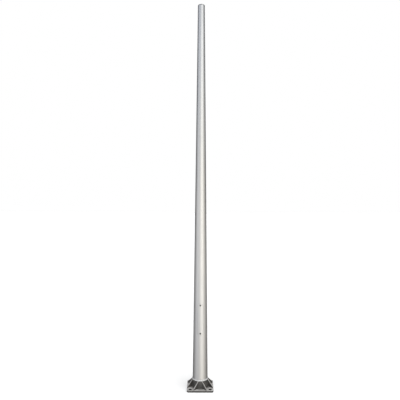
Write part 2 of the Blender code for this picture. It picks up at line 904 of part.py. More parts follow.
def domed_cap():
    edge = shaft_radius(TOP_Z)
    skirt = shaft_radius(TOP_Z, WALL + GAP)
    skirt_inner = skirt - SKIRT_WALL
    groove_top, groove_bottom, groove = 3.9580, 3.9530, 0.0020
    inside = dome_points(skirt_inner, CAP_HEIGHT - CAP_WALL, CAP_HOLE_RADIUS, 4)
    turned(
        "cap",
        [
            *dome_points(edge, CAP_HEIGHT, CAP_HOLE_RADIUS, 7),
            (skirt, CAP_SEAT),
            (skirt, groove_top),
            (skirt - groove, groove_top),
            (skirt - groove, groove_bottom),
            (skirt, groove_bottom),
            (skirt, SKIRT_BOTTOM),
            (skirt_inner, SKIRT_BOTTOM),
            *reversed(inside),
        ],
        SATIN_ALUMINIUM,
        MEDIUM_STEPS,
    )
    ring(
        "cap_seal", skirt - groove + GAP, skirt, groove_bottom + GAP, groove_top - GAP,
        BLACK_RUBBER, MEDIUM_STEPS,
    )
    crown = CAP_SEAT + CAP_HEIGHT
    plug_disc("cap_bridge", STUD_RADIUS + GAP, BRIDGE_DISC_Z, BRIDGE_DISC_Z + 0.008, PLAIN_ALUMINIUM)
    cylinder("cap_stud", STUD_RADIUS, BRIDGE_DISC_Z + 0.0005, TOTAL_HEIGHT - 0.0035, STAINLESS)
    ring("cap_washer", CAP_HOLE_RADIUS, 0.0090, crown + GAP, crown + 0.0013, STAINLESS)
    dome_nut(crown + 0.0016)


def dome_nut(bottom):
    """A low hexagon nut with a rounded crown, closed over the end of the stud."""
    nut = turned(
        "cap_nut",
        [
            (0, TOTAL_HEIGHT),
            (0.0030, TOTAL_HEIGHT - 0.0004),
            (0.0055, TOTAL_HEIGHT - 0.0018),
            (0.0068, TOTAL_HEIGHT - 0.0038),
            (0.0080, TOTAL_HEIGHT - 0.0048),
            (0.0080, bottom),
            (0, bottom),
        ],
        STAINLESS,
    )
    keep_inside(nut, cylinder("nut_flats", 0.0075, bottom - 0.002, TOTAL_HEIGHT + 0.002, STAINLESS, 6))
    cut(nut, cylinder(
        "nut_thread", STUD_RADIUS + GAP, bottom - 0.002, TOTAL_HEIGHT - 0.0030, STAINLESS
    ))


def door_pivot():
    """An empty at the door's centre on which the door and its captive screws slide off."""
    pivot = bpy.data.objects.new("door_slide", None)
    pivot.location = (0, -shaft_radius(DOOR_Z), DOOR_Z)
    ANTENNA.objects.link(pivot)
    return pivot


def settle_meshes():
    """Makes every piece a plain mesh of its final shape, smooth on its round faces."""
    bpy.context.view_layer.update()
    graph = bpy.context.evaluated_depsgraph_get()
    pieces = [obj for obj in ANTENNA.objects if obj.type == "MESH"]
    meshes = [bpy.data.meshes.new_from_object(obj.evaluated_get(graph)) for obj in pieces]
    for obj, mesh in zip(pieces, meshes):
        obj.modifiers.clear()
        obj.data = mesh
        mesh.name = obj.name
        mesh.shade_smooth()
        mesh.set_sharp_from_angle(angle=SHARP_ANGLE)


def build():
    base_casting()
    base_weld()
    socket_weld()
    cable_grommet()
    mast()
    pivot = door_pivot()
    access_door(pivot)
    door_gasket()
    door_frame()
    door_fixing("upper", 1, pivot)
    door_fixing("lower", -1, pivot)
    bracket_rail()
    rail_fixing("lower", RAIL_FIXING_Z[0])
    rail_fixing("upper", RAIL_FIXING_Z[1])
    surge_arrester()
    earthing()
    feeder()
    radome_and_joint()
    antenna_connector()
    choke_sleeve()
    radiating_stack()
    domed_cap()
    settle_meshes()


build()
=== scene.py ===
"""The looks of the pole antenna: fine surfaces, procedural finishes, studio and camera.

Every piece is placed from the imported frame, in metres, +Z up, with the access door facing -Y.
"""

import json
import math
import random

import bmesh
import bpy
from mathutils import Matrix, Vector, noise

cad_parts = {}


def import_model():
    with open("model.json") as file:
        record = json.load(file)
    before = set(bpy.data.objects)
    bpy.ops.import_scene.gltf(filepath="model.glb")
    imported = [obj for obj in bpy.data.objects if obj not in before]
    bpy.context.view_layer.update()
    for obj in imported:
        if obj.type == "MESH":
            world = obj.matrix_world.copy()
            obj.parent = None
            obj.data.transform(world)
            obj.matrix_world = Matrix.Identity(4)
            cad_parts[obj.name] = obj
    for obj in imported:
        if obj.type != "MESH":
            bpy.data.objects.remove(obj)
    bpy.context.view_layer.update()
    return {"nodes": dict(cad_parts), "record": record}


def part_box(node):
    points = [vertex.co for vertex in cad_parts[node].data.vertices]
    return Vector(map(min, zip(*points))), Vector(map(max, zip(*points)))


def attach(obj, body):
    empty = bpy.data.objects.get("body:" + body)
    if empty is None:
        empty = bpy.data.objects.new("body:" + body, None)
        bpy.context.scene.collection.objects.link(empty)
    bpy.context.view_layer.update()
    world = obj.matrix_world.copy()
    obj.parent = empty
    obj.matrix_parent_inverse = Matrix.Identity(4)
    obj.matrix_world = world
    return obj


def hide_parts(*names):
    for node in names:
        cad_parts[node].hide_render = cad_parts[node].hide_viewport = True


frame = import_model()

# Places and sizes read from the frame
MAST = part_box("mast_lower_tube")
MAST_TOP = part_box("mast_upper_tube")[1].z
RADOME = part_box("radome_tube")
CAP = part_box("cap")
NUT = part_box("cap_nut")
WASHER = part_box("cap_washer")
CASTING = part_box("base_casting")
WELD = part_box("base_weld")
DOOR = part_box("access_door")
OPENINGS = {
    opening["name"]: [Vector(corner) for corner in opening["box_m"]]
    for opening in frame["record"]["physics"]["openings"]
}

FRONT = Matrix.Rotation(math.pi / 2, 4, "X")  # turns a piece's own +Z to face -Y
WALL = 0.004
GAP = 0.0003
FINE = 256  # steps round the shaft
MEDIUM = 96  # steps round a fitting
SMALL = 48  # steps round a screw

MAST_FOOT_RADIUS = MAST[1].x
CAP_EDGE_RADIUS = CAP[1].x
TAPER = (MAST_FOOT_RADIUS - CAP_EDGE_RADIUS) / (RADOME[1].z - MAST[0].z)

DOOR_Z = (DOOR[0].z + DOOR[1].z) / 2
DOOR_WIDTH = DOOR[1].x - DOOR[0].x
DOOR_HEIGHT = DOOR[1].z - DOOR[0].z
DOOR_THICK = 0.0022
DOOR_EDGE_GAP = 0.0010
DOOR_SCREW_RADIUS = 0.003
GASKET_WIDTH = 0.0055
FRAME_OVERLAP = 0.009
FRAME_LIP = 0.006
FRAME_THICK = 0.003

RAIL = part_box("bracket_rail")
RAIL_THICK = 0.003
PORT = (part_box("surge_arrester")[0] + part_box("surge_arrester")[1]) / 2
PORT_RADIUS = 0.0075
ARRESTER_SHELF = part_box("arrester_nut")[1].z + GAP


def shaft_radius(z, depth=0.0):
    """The shaft's radius at a height, less a depth measured inwards from its skin."""
    return MAST_FOOT_RADIUS - (z - MAST[0].z) * TAPER - depth


def middle(corners):
    return (corners[0] + corners[1]) / 2


def facing_front(x, y, z):
    """Places a piece turned about its own +Z so that it points out of the door side."""
    return Matrix.Translation((x, y, z)) @ FRONT


BOLT_HOLES = [middle(c) for name, c in OPENINGS.items() if name.startswith("bolt_hole")]
DOOR_SCREWS = [middle(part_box(f"door_screw_{end}")) for end in ("upper", "lower")]


# Node materials


class Finish:
    """A material in the making: short calls that add nodes and return their output sockets."""

    def __init__(self, name):
        self.material = bpy.data.materials.new(name)
        self.material.use_nodes = True
        self.tree = self.material.node_tree
        self.shader = self.tree.nodes["Principled BSDF"]
        coordinates = self.tree.nodes.new("ShaderNodeTexCoord")
        self.place = coordinates.outputs["Object"]
        self.facing = coordinates.outputs["Normal"]

    def put(self, socket, value):
        if isinstance(value, bpy.types.NodeSocket):
            self.tree.links.new(value, socket)
        else:
            socket.default_value = value

    def set(self, **values):
        for name, value in values.items():
            self.put(self.shader.inputs[name.replace("_", " ")], value)

    def noise(self, scale, detail=3.0, roughness=0.55, stretch=(1, 1, 1), shift=(0, 0, 0)):
        mapping = self.tree.nodes.new("ShaderNodeMapping")
        mapping.inputs["Scale"].default_value = stretch
        mapping.inputs["Location"].default_value = shift
        self.put(mapping.inputs["Vector"], self.place)
        texture = self.tree.nodes.new("ShaderNodeTexNoise")
        texture.inputs["Scale"].default_value = scale
        texture.inputs["Detail"].default_value = detail
        texture.inputs["Roughness"].default_value = roughness
        self.put(texture.inputs["Vector"], mapping.outputs["Vector"])
        return texture.outputs["Fac"]

    def cells(self, scale):
        texture = self.tree.nodes.new("ShaderNodeTexVoronoi")
        texture.inputs["Scale"].default_value = scale
        self.put(texture.inputs["Vector"], self.place)
        return texture.outputs["Distance"]

    def span(self, value, low, high, to_low=0.0, to_high=1.0):
        node = self.tree.nodes.new("ShaderNodeMapRange")
        node.interpolation_type = "SMOOTHSTEP"
        self.put(node.inputs["Value"], value)
        for name, number in (
            ("From Min", low), ("From Max", high), ("To Min", to_low), ("To Max", to_high)
        ):
            self.put(node.inputs[name], number)
        return node.outputs["Result"]

    def away(self, centre, fold=False):
        """Distance from a point given as (x, z) at the front, or (x, y) under a fourfold fold."""
        place = self.place
        if fold:
            folded = self.tree.nodes.new("ShaderNodeVectorMath")
            folded.operation = "ABSOLUTE"
            self.put(folded.inputs[0], place)
            place = folded.outputs["Vector"]
        flat = self.tree.nodes.new("ShaderNodeVectorMath")
        flat.operation = "MULTIPLY"
        flat.inputs[1].default_value = (1, 1, 0) if fold else (1, 0, 1)
        self.put(flat.inputs[0], place)
        distance = self.tree.nodes.new("ShaderNodeVectorMath")
        distance.operation = "DISTANCE"
        distance.inputs[1].default_value = (*centre, 0) if fold else (centre[0], 0, centre[1])
        self.put(distance.inputs[0], flat.outputs["Vector"])
        return distance.outputs["Value"]

    def sum(self, operation, a, b):
        node = self.tree.nodes.new("ShaderNodeMath")
        node.operation = operation
        self.put(node.inputs[0], a)
        self.put(node.inputs[1], b)
        return node.outputs["Value"]

    def mix(self, factor, a, b):
        node = self.tree.nodes.new("ShaderNodeMix")
        node.data_type = "RGBA"
        self.put(node.inputs["Factor"], factor)
        self.put(node.inputs[6], a)
        self.put(node.inputs[7], b)
        return node.outputs[2]

    def part(self, vector, axis):
        node = self.tree.nodes.new("ShaderNodeSeparateXYZ")
        self.put(node.inputs["Vector"], vector)
        return node.outputs[axis]

    def bump(self, height, distance, strength=1.0, under=None):
        node = self.tree.nodes.new("ShaderNodeBump")
        node.inputs["Distance"].default_value = distance
        node.inputs["Strength"].default_value = strength
        self.put(node.inputs["Height"], height)
        if under is not None:
            self.put(node.inputs["Normal"], under)
        return node.outputs["Normal"]


def grey(level, warmth=0.0):
    return (level * (1 + warmth), level, level * (1 - warmth), 1.0)


def satin_metal(name, level, streaks, screws=(), crown=0.0):
    """Satin silver: brushing, a faint mottle and weathered patches, a tone darker and warmer
    towards the foot, a painted cool reflection towards the top, grime with painted shade round
    screws, and a painted dark reflection on a crown.
    """
    f = Finish(name)
    brush = f.noise(420, 2.0, stretch=(1, 1, 0.012))
    fine = f.noise(1500, 1.0, stretch=(1, 1, 0.006), shift=(3, 1, 2))
    mottle = f.noise(9, 4.0, 0.6, stretch=(1, 1, 0.35))
    patches = f.noise(2.2, 3.0, shift=(5, 5, 0))
    height = f.part(f.place, "Z")
    foot = f.span(height, 0.9, 0.05)
    upper = f.span(height, 1.4, 3.9)
    base = f.mix(f.span(mottle, 0.3, 0.7), grey(level * 0.965), grey(level * 1.02))
    base = f.mix(f.span(brush, 0.35, 0.65, 0, 0.35 * streaks), base, grey(level * 0.88))
    base = f.mix(f.span(patches, 0.45, 0.7, 0, 0.25), base, grey(level * 0.95, 0.01))
    # Darker and warmer towards the foot.
    base = f.mix(f.sum("MULTIPLY", foot, 0.75), base, grey(level * 0.90, 0.022))
    # Painted reflection: a cooler tint towards the top, standing in for a reflected sky.
    base = f.mix(f.sum("MULTIPLY", upper, 0.85), base, grey(level * 0.985, -0.022))
    # Grime and painted shade: the metal is painted dark round each screw, partly as dirt and
    # partly standing in for the shade of its recess.
    for screw in screws:
        grime_and_screw_shade = f.span(f.away((screw.x, screw.z)), 0.0125, 0.0060, 0, 0.75)
        grime_and_screw_shade = f.sum("MULTIPLY", grime_and_screw_shade, f.span(mottle, 0.2, 0.6, 0.75, 1))
        base = f.mix(grime_and_screw_shade, base, grey(0.10, 0.03))
    # Painted dark reflection: faces turned upwards on the crown are painted dark, standing in for
    # a dark ceiling reflected in them.
    if crown:
        painted_dark_reflection = f.span(f.part(f.facing, "Z"), 0.10, 0.55, 0, crown)
        base = f.mix(painted_dark_reflection, base, grey(0.10, 0.0))
    rough = f.sum("ADD", f.span(brush, 0.3, 0.7, 0, 0.05), f.span(height, 0.5, 3.9, 0.40, 0.20))
    rough = f.sum("ADD", rough, f.span(mottle, 0.3, 0.7, -0.02, 0.03))
    grooves = f.bump(brush, 0.00003 * streaks, 0.6)
    grooves = f.bump(fine, 0.00001 * streaks, 0.5, grooves)
    f.set(Base_Color=base, Metallic=0.88, Roughness=rough, Normal=grooves)
    return f.material


def cast_metal():
    """Sand-cast aluminium: dark grained walls as painted shade, and pale tops, lips and rib edges
    as painted light and painted highlights.
    """
    f = Finish("cast_aluminium")
    grain = f.noise(900, 4.0, 0.65)
    lumps = f.noise(160, 3.0, shift=(2, 7, 1))
    stain = f.noise(22, 4.0, 0.6, shift=(1, 3, 9))
    pits = f.cells(520)
    # Painted light: faces turned upwards take the pale colour, as if lit from above.
    up = f.span(f.part(f.facing, "Z"), 0.12, 0.62)
    geometry = f.tree.nodes.new("ShaderNodeNewGeometry")
    # Painted highlight: sharp edges take the pale colour too.
    edge = f.span(geometry.outputs["Pointiness"], 0.515, 0.56)
    # Painted shade: the dark grey given to every face not turned upwards.
    shaded_walls = f.mix(f.span(stain, 0.35, 0.7), grey(0.045, 0.03), grey(0.085, 0.06))
    shaded_walls = f.mix(f.span(lumps, 0.5, 0.75, 0, 0.4), shaded_walls, grey(0.12, 0.05))
    # Painted light: the pale grey given to faces turned upwards and to edges.
    lit_tops = f.mix(f.span(stain, 0.3, 0.7), grey(0.50, 0.015), grey(0.36, 0.035))
    lit_tops = f.mix(f.span(lumps, 0.55, 0.8, 0, 0.35), lit_tops, grey(0.16, 0.04))
    # Painted shade: the plate's top is darkened round the collar's foot, between the ribs, where
    # shade falls.
    axis = f.away((0, 0), fold=True)
    low = f.span(f.part(f.place, "Z"), 0.030, 0.022)
    painted_collar_shade = f.sum("MULTIPLY", f.span(axis, 0.122, 0.094, 0, 0.72), low)
    lit_tops = f.mix(painted_collar_shade, lit_tops, grey(0.07, 0.05))
    # Painted shade: the bolt holes' walls are painted almost black and kept free of the painted
    # light.
    hole = (abs(BOLT_HOLES[0].x), abs(BOLT_HOLES[0].y))
    painted_hole_shade = f.span(f.away(hole, fold=True), 0.0172, 0.0164)
    shaded_walls = f.mix(painted_hole_shade, shaded_walls, grey(0.010, 0.05))
    # Where the painted light goes: faces turned upwards and sharp edges, less on the grain, and
    # never in the bolt holes.
    painted_light_mask = f.sum("MAXIMUM", up, f.sum("MULTIPLY", edge, 0.8))
    painted_light_mask = f.sum("MULTIPLY", painted_light_mask, f.span(grain, 0.15, 0.5, 0.75, 1.0))
    painted_light_mask = f.sum("MULTIPLY", painted_light_mask, f.sum("SUBTRACT", 1.0, painted_hole_shade))
    colour = f.mix(painted_light_mask, shaded_walls, lit_tops)
    rough = f.span(grain, 0.3, 0.7, 0.52, 0.70)
    surface = f.bump(grain, 0.0004, 0.7)
    surface = f.bump(lumps, 0.0012, 0.35, surface)
    surface = f.bump(f.span(pits, 0.0, 0.25), 0.0003, 0.4, surface)
    f.set(Base_Color=colour, Metallic=0.2, Roughness=rough, Normal=surface)
    return f.material


def weld_metal():
    """Bright, slightly stained weld, softer in gloss than the machined metal."""
    f = Finish("weld_metal")
    grain = f.noise(1200, 3.0)
    stain = f.noise(60, 3.0, shift=(4, 4, 4))
    colour = f.mix(f.span(stain, 0.35, 0.75), grey(0.74, -0.01), grey(0.50, 0.01))
    f.set(
        Base_Color=colour, Metallic=0.45, Roughness=f.span(grain, 0.3, 0.7, 0.34, 0.5),
        Normal=f.bump(grain, 0.0002, 0.6),
    )
    return f.material


def machined_metal(name, colour, dark, rough=(0.22, 0.38), metallic=1.0, stretch=(1, 1, 6)):
    """Turned or rolled metal: fine tool lines, handling marks and dull patches."""
    f = Finish(name)
    lines = f.noise(700, 2.0, stretch=stretch)
    marks = f.noise(45, 4.0, 0.6, shift=(3, 8, 2))
    base = f.mix(f.span(marks, 0.4, 0.75, 0, 0.8), (*colour, 1), (*dark, 1))
    roughness = f.sum(
        "ADD", f.span(lines, 0.3, 0.7, rough[0], rough[1]), f.span(marks, 0.4, 0.8, 0, 0.1)
    )
    f.set(
        Base_Color=base, Metallic=metallic, Roughness=roughness,
        Normal=f.bump(lines, 0.00006, 0.5),
    )
    return f.material


def moulded(name, colour, dusty, rough, grain_scale, grain_depth):
    """Rubber, jacket, foam or glass fibre: a grained skin with a little dust on it."""
    f = Finish(name)
    grain = f.noise(grain_scale, 3.0)
    dust = f.noise(35, 4.0, 0.6, shift=(9, 2, 4))
    base = f.mix(f.span(dust, 0.42, 0.8, 0, 0.7), (*colour, 1), (*dusty, 1))
    f.set(
        Base_Color=base, Metallic=0.0,
        Roughness=f.span(grain, 0.3, 0.7, rough - 0.08, rough + 0.08),
        Normal=f.bump(grain, grain_depth, 0.6),
    )
    return f.material


LOOKS = {
    "cast_aluminium": cast_metal(),
    "satin_aluminium": satin_metal("satin_aluminium", 0.62, 1.0),
    "radome_skin": satin_metal("radome_skin", 0.62, 0.8),
    # The door's finish is painted dark round its screws, grime with painted shade; the cap's
    # finish has a painted dark reflection on its crown.
    "door_skin": satin_metal("door_skin", 0.62, 1.0, DOOR_SCREWS),
    "cap_skin": satin_metal("cap_skin", 0.60, 0.6, crown=0.85),
    "dull_steel": machined_metal(
        "dull_steel", (0.26, 0.26, 0.26), (0.16, 0.16, 0.16), (0.35, 0.5)
    ),
    "weld_metal": weld_metal(),
    "plain_aluminium": machined_metal(
        "plain_aluminium", (0.62, 0.62, 0.62), (0.50, 0.50, 0.49), (0.34, 0.48)
    ),
    "stainless_steel": machined_metal("stainless_steel", (0.55, 0.54, 0.52), (0.42, 0.41, 0.40)),
    "dark_screw": machined_metal(
        "dark_screw", (0.035, 0.034, 0.033), (0.02, 0.02, 0.02), (0.4, 0.55)
    ),
    "brass": machined_metal("brass", (0.72, 0.50, 0.20), (0.50, 0.33, 0.13)),
    "copper": machined_metal("copper", (0.78, 0.40, 0.26), (0.50, 0.25, 0.16)),
    "black_rubber": moulded(
        "black_rubber", (0.022, 0.022, 0.022), (0.06, 0.058, 0.055), 0.7, 900, 0.0001
    ),
    "cable_jacket": moulded(
        "cable_jacket", (0.015, 0.015, 0.016), (0.045, 0.045, 0.044), 0.45, 500, 0.00005
    ),
    "earth_jacket": moulded(
        "earth_jacket", (0.05, 0.30, 0.05), (0.10, 0.30, 0.09), 0.45, 600, 0.00005
    ),
    "foam": moulded("foam", (0.72, 0.72, 0.69), (0.60, 0.59, 0.55), 0.88, 650, 0.0006),
    "glass_fibre": moulded(
        "glass_fibre", (0.62, 0.58, 0.42), (0.50, 0.47, 0.36), 0.4, 1200, 0.00005
    ),
}
SLOT_OF = {s["node"]: s["material_slot"] for s in frame["record"]["subparts"]}
BODY_OF = {
    node: body for body, nodes in frame["record"]["behaviour"]["bodies"].items() for node in nodes
}


def dress(obj, *nodes, material=None):
    """Gives a piece the finish, slot and body of the CAD nodes it stands for, and hides them."""
    obj.data.materials.clear()
    obj.data.materials.append(material or LOOKS[SLOT_OF[nodes[0]]])
    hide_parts(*nodes)
    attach(obj, BODY_OF[nodes[0]])
    return obj


# Mesh building


def shade(mesh, angle=30):
    mesh.shade_smooth()
    mesh.set_sharp_from_angle(angle=math.radians(angle))


def add_object(name, mesh):
    obj = bpy.data.objects.new(name, mesh)
    bpy.context.scene.collection.objects.link(obj)
    return obj


def mesh_object(name, bm):
    bmesh.ops.recalc_face_normals(bm, faces=bm.faces)
    mesh = bpy.data.meshes.new(name)
    bm.to_mesh(mesh)
    bm.free()
    shade(mesh)
    return add_object(name, mesh)


def polar(radius, angle, height):
    return (radius * math.cos(angle), radius * math.sin(angle), height)


def lathe(name, profile, segments=MEDIUM, matrix=None):
    """Turns (radius, height) points about Z. Points on the axis close it; a ring is closed up."""
    bm = bmesh.new()
    is_ring = all(radius > 1e-6 for radius, _ in profile)
    rows = []
    for radius, height in profile:
        if radius <= 1e-6:
            rows.append([bm.verts.new((0, 0, height))])
            continue
        rows.append([
            bm.verts.new(polar(radius, 2 * math.pi * i / segments, height))
            for i in range(segments)
        ])
    pairs = list(zip(rows, rows[1:]))
    if is_ring:
        pairs.append((rows[-1], rows[0]))
    for upper, lower in pairs:
        for i in range(segments):
            j = (i + 1) % segments
            corners = [
                upper[i % len(upper)], upper[j % len(upper)],
                lower[j % len(lower)], lower[i % len(lower)],
            ]
            bm.faces.new(list(dict.fromkeys(corners)))
    if matrix is not None:
        bm.transform(matrix)
    return mesh_object(name, bm)


def boolean(obj, other, operation):
    """Applies a Boolean with another object, which is then removed."""
    modifier = obj.modifiers.new("shape", "BOOLEAN")
    modifier.operation = operation
    modifier.solver = "EXACT"
    modifier.object = other
    bake(obj)
    bpy.data.objects.remove(other)
    return obj


def bake(obj):
    """Applies an object's modifiers."""
    bpy.context.view_layer.update()
    graph = bpy.context.evaluated_depsgraph_get()
    mesh = bpy.data.meshes.new_from_object(obj.evaluated_get(graph))
    obj.modifiers.clear()
    obj.data = mesh


def soften(obj, width, segments=2, angle=40):
    """Rounds an object's sharp edges a little."""
    bevel = obj.modifiers.new("soften", "BEVEL")
    bevel.width = width
    bevel.segments = segments
    bevel.limit_method = "ANGLE"
    bevel.angle_limit = math.radians(angle)
    bevel.use_clamp_overlap = True
    bake(obj)
    shade(obj.data, 30)
    return obj


def block(name, low, high):
    bm = bmesh.new()
    bmesh.ops.create_cube(bm, size=1.0)
    for vert in bm.verts:
        vert.co = Vector(h if c > 0 else l for l, h, c in zip(low, high, vert.co))
    return mesh_object(name, bm)


def bar(name, radius, bottom, top, segments=SMALL, matrix=None):
    """An upright round bar or prism."""
    return lathe(
        name, [(0, top), (radius, top), (radius, bottom), (0, bottom)], segments, matrix
    )


def thread(radius, top, bottom, pitch=0.0010, depth=0.0005):
    """Profile points of a threaded stretch, from its top down."""
    points = []
    height = top
    while height > bottom + pitch:
        points += [(radius, height), (radius - depth, height - pitch / 2)]
        height -= pitch
    return [*points, (radius, height), (radius, bottom)]


def eased_ring(inner, outer, low, high, ease):
    """Profile of a washer whose outer edges are broken."""
    return [
        (outer - ease, high), (outer, high - ease), (outer, low + ease), (outer - ease, low),
        (inner, low), (inner, high),
    ]


def groove(radius, high, low, depth, slope=0.0005):
    """Profile points of a groove turned into a barrel, from its top down."""
    floor = radius - depth
    return [(radius, high), (floor, high - slope), (floor, low + slope), (radius, low)]


def flute(obj, radius, low, high, depth, segments, centre=(0, 0)):
    """Presses every other line of a turned piece's widest stretch inwards, as a grip."""
    for vert in obj.data.vertices:
        x, y = vert.co.x - centre[0], vert.co.y - centre[1]
        line = round(math.atan2(y, x) / (2 * math.pi) * segments)
        if abs(math.hypot(x, y) - radius) < 1e-5 and low < vert.co.z < high and line % 2:
            shrink = 1 - depth / radius
            vert.co.x, vert.co.y = centre[0] + x * shrink, centre[1] + y * shrink
    return obj


def hex_nut(node, across, bore, bottom, top, matrix):
    """A hexagon nut with chamfered corners and a threaded bore."""
    corner = across / 2 / math.cos(math.pi / 6)
    turned_off, ease = 0.10 * across, 0.0005
    profile = [
        (corner - turned_off, top), (corner, top - turned_off / 2),
        (corner, bottom + turned_off / 2), (corner - turned_off, bottom), (bore + ease, bottom),
        *reversed(thread(bore + ease, top - ease, bottom + ease, 0.0012, ease)),
        (bore + ease, top),
    ]
    nut = lathe(f"{node}_skin", profile, MEDIUM, matrix)
    boolean(nut, bar("flats", corner, bottom - 0.001, top + 0.001, 6, matrix), "INTERSECT")
    return dress(soften(nut, 0.0002, 2, 50), node)


def stadium(width, height, rounds=24):
    """A round-ended prism through the front of the shaft at the door."""
    inside, reach = -0.030, 0.060  # from just behind the wall to well outside it
    straight = (height - width) / 2
    bm = bmesh.new()
    back = []
    for end in (1, -1):
        for i in range(rounds + 1):
            angle = math.pi * i / rounds + (0 if end > 0 else math.pi)
            x, z = width / 2 * math.cos(angle), end * straight + width / 2 * math.sin(angle)
            back.append(bm.verts.new((x, inside, DOOR_Z + z)))
    bm.faces.new(back)
    made = bmesh.ops.extrude_face_region(bm, geom=list(bm.faces))
    moved = [v for v in made["geom"] if isinstance(v, bmesh.types.BMVert)]
    bmesh.ops.translate(bm, verts=moved, vec=(0, -reach, 0))
    return mesh_object("stadium", bm)


def curved_wall(name, bottom, top, outer_depth, inner_depth, chamfer=0.0, rings=10):
    """A stretch of the shaft's own wall between two depths, with chamfered rims."""
    heights = [bottom + (top - bottom) * i / rings for i in range(rings + 1)]
    outer = [(shaft_radius(z, outer_depth), z) for z in reversed(heights)]
    inner = [(shaft_radius(z, inner_depth), z) for z in heights]
    if chamfer:
        outer[0] = (outer[0][0], outer[0][1] - chamfer)
        outer[-1] = (outer[-1][0], outer[-1][1] + chamfer)
        outer.insert(0, (shaft_radius(top, outer_depth + chamfer), top))
        outer.append((shaft_radius(bottom, outer_depth + chamfer), bottom))
    return lathe(name, outer + inner, FINE)


# Shaft


def mast():
    """Both mast tubes as one skin, with the door's opening cut through it."""
    edge = 2 * DOOR_EDGE_GAP
    tube = curved_wall("mast_skin", MAST[0].z, MAST_TOP, 0, WALL, 0.0002, 16)
    boolean(tube, stadium(DOOR_WIDTH + edge, DOOR_HEIGHT + edge), "DIFFERENCE")
    shade(tube.data)
    dress(tube, "mast_lower_tube", "mast_upper_tube")


def radome():
    """The upper tube, countersunk for the three screws that hold it to the joint spigot."""
    tube = curved_wall("radome_skin", RADOME[0].z, RADOME[1].z, 0, WALL, 0.0002, 10)
    for number in (1, 2, 3):
        node = f"radome_screw_{number}"
        centre = middle(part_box(node))
        heading = Matrix.Rotation(math.atan2(centre.y, centre.x), 4, "Z")
        outwards = heading @ Matrix.Rotation(math.pi / 2, 4, "Y")
        skin = Matrix.Translation((0, 0, shaft_radius(centre.z) - 0.0001))
        at_skin = Matrix.Translation((0, 0, centre.z)) @ outwards @ skin
        head, length = 0.0042, 0.011
        sink = [
            (0, 0.003), (head + GAP, 0.003), (head + GAP, -0.0007),
            (head / 2 + GAP, -0.0027), (head / 2 + GAP, -0.02), (0, -0.02),
        ]
        boolean(tube, lathe("sink", sink, SMALL, at_skin), "DIFFERENCE")
        profile = [
            (0, 0), (head - 0.0002, 0), (head, -0.0003), (head / 2, -0.0024),
            *thread(head / 2, -0.0030, -length, 0.0008, 0.0003), (0, -length),
        ]
        screw = lathe(f"{node}_skin", profile, SMALL, at_skin)
        boolean(screw, bar("socket", 0.0016, -0.0018, 0.001, 6, at_skin), "DIFFERENCE")
        shade(screw.data)
        dress(screw, node)
    shade(tube.data)
    dress(tube, "radome_tube")


def door_leaf(name, node, outer_depth, inner_depth, outline, window=None):
    """A curved plate or ring cut from the shaft's wall to a round-ended outline."""
    reach = DOOR_HEIGHT / 2 + 0.03
    leaf = curved_wall(name, DOOR_Z - reach, DOOR_Z + reach, outer_depth, inner_depth, 0, 4)
    boolean(leaf, stadium(DOOR_WIDTH + outline, DOOR_HEIGHT + outline), "INTERSECT")
    if window is not None:
        boolean(leaf, stadium(DOOR_WIDTH + window, DOOR_HEIGHT + window), "DIFFERENCE")
    shade(leaf.data)
    return dress(leaf, node)


def door():
    """The door itself, drilled for its two captive screws."""
    leaf = door_leaf("access_door_skin", "access_door", 0, DOOR_THICK, 0)
    for screw in DOOR_SCREWS:
        hole = facing_front(0, screw.y, screw.z)
        drill = bar("hole", DOOR_SCREW_RADIUS + 0.0005, -0.02, 0.02, SMALL, hole)
        boolean(leaf, drill, "DIFFERENCE")
    shade(leaf.data)
    leaf.data.materials.clear()
    leaf.data.materials.append(LOOKS["door_skin"])


def door_surround():
    """The rubber seal in the opening, and the frame welded behind it."""
    door_leaf("door_gasket_skin", "door_gasket", DOOR_THICK + GAP, WALL, 0, -2 * GASKET_WIDTH)
    door_leaf(
        "door_frame_skin", "door_frame", WALL + GAP, WALL + GAP + FRAME_THICK,
        2 * FRAME_OVERLAP, -2 * FRAME_LIP,
    )


# Base

PLATE_THICK = 0.018
PLATE_CORNER = 0.021
COLLAR_TOP = CASTING[1].z
COLLAR_TOP_RADIUS = 0.083
COLLAR_FOOT_RADIUS = 0.091
SOCKET_RADIUS = 0.0790
SOCKET_FLOOR = 0.020
CABLE_HOLE_RADIUS = 0.040
BOLT_HOLE_RADIUS = 0.016
RIB_THICK = 0.009
RIB_ROOT_ANGLE = math.radians(14.3)
RIB_ROOT_TOP = 0.096
RIB_FOOT = Vector((0.0655, -0.130, 0))
RIB_FOOT_TOP = 0.031
RIB_INTO_WALL = 0.004
CAST_VOXEL = 0.0016


def rib(index):
    """One splayed rib, two to a side, drafted so that its top edge is thinner than its root."""
    side, hand = divmod(index, 2)
    sign = 1 if hand else -1
    outwards = Vector((sign * math.sin(RIB_ROOT_ANGLE), -math.cos(RIB_ROOT_ANGLE), 0))
    root = COLLAR_TOP_RADIUS * outwards
    run = Vector((sign * RIB_FOOT.x, RIB_FOOT.y, 0)) - root
    bm = bmesh.new()
    bmesh.ops.create_cube(bm, size=1.0)
    for vert in bm.verts:
        at_foot, is_top = vert.co.x > 0, vert.co.z > 0
        along = run.length if at_foot else -RIB_INTO_WALL
        top = RIB_FOOT_TOP if at_foot else RIB_ROOT_TOP
        thick = RIB_THICK * (0.95 if is_top else 1.15)
        vert.co = (along, vert.co.y * thick, top if is_top else PLATE_THICK / 2)
    heading = Matrix.Rotation(math.atan2(run.y, run.x), 4, "Z")
    bm.transform(Matrix.Rotation(side * math.pi / 2, 4, "Z") @ Matrix.Translation(root) @ heading)
    return mesh_object("rib", bm)


